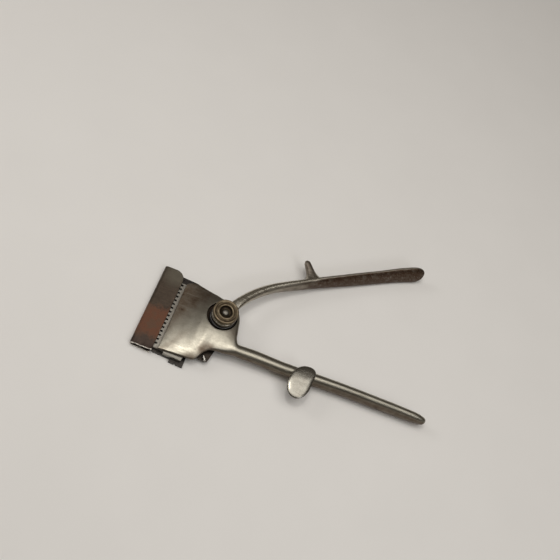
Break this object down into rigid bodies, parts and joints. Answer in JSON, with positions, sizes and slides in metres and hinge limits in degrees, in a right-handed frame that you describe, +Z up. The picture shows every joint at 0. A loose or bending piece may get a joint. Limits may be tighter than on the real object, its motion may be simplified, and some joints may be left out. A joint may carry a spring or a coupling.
{
  "type": "hair clipper",
  "caption": "Hand-squeezed hair clipper: toothed cutter sliding over a fixed comb, spring-returned curved handle, straight handle with thumb rest, tension nut and slip-on blade guard.",
  "frame": {"origin": "on the comb plate's flat underside, below the middle of the frame's front edge", "axes": "+X back along the fixed handle, away from the teeth; +Y towards the moving handle; +Z up, from the comb plate to the tension nut"},
  "size_m": [0.1814, 0.1271, 0.0201],
  "materials": {
    "frame_nickel": "satin nickel plate, worn and tarnished",
    "handle_nickel": "satin nickel plate, darkened, bright along the edges",
    "polished_nickel": "polished nickel plate",
    "comb_steel": "dark ground steel",
    "cutter_steel": "ground steel, light grey",
    "bridge_steel": "dark stamped steel",
    "fastener_steel": "bright turned steel",
    "nut_bronze": "turned bronze, brown tarnish",
    "spring_steel": "blued spring wire",
    "guard_sheet": "dark sheet steel with a rust patch"
  },
  "bodies": {
    "frame_assembly": {"frame": "frame_nickel", "thumb_rest": "polished_nickel", "thumb_rest_rivet": "fastener_steel", "comb_plate": "comb_steel", "bridge": "bridge_steel", "bridge_post_1": "bridge_steel", "bridge_post_2": "bridge_steel", "bridge_screw_1": "fastener_steel", "bridge_screw_2": "fastener_steel", "comb_screw_1": "fastener_steel", "comb_screw_2": "fastener_steel", "comb_shim_1": "bridge_steel", "comb_shim_2": "bridge_steel", "stop_pin": "fastener_steel", "bridge_stud": "fastener_steel", "pivot_screw": "fastener_steel", "pivot_bush": "nut_bronze", "tension_washer": "bridge_steel", "torsion_spring": "spring_steel"},
    "handle_assembly": {"moving_handle": "handle_nickel", "drive_lever": "bridge_steel", "lever_rivet_1": "fastener_steel", "lever_rivet_2": "fastener_steel"},
    "cutter_assembly": {"cutter_plate": "cutter_steel", "cutter_yoke": "cutter_steel", "yoke_rivet_1": "fastener_steel", "yoke_rivet_2": "fastener_steel"},
    "nut_body": {"tension_nut": "nut_bronze"},
    "guard_body": {"blade_guard": "guard_sheet"}
  },
  "joints": [
    {"name": "handle_squeeze", "type": "hinge", "parent": "frame_assembly", "child": "handle_assembly", "pos_m": [0.0273, 0.0102, 0], "axis": [0, 0, 1], "range_deg": [-20, 0], "stiffness_Nm_per_rad": 1.2, "springref_deg": 20.05, "deforming": ["torsion_spring"]},
    {"name": "cutter_slide", "type": "slide", "parent": "frame_assembly", "child": "cutter_assembly", "axis": [0, 1, 0], "range_m": [0, 0.0049]},
    {"name": "nut_turn", "type": "hinge", "parent": "frame_assembly", "child": "nut_body", "pos_m": [0.0273, 0.0102, 0], "axis": [0, 0, 1], "range_deg": [-180, 180]},
    {"name": "guard_slide", "type": "slide", "parent": "frame_assembly", "child": "guard_body", "axis": [-1, 0, 0], "range_m": [0, 0.02]}
  ],
  "couplings": [
    {"joint": "cutter_slide", "follows": "handle_squeeze", "m_per_rad": -0.014}
  ]
}
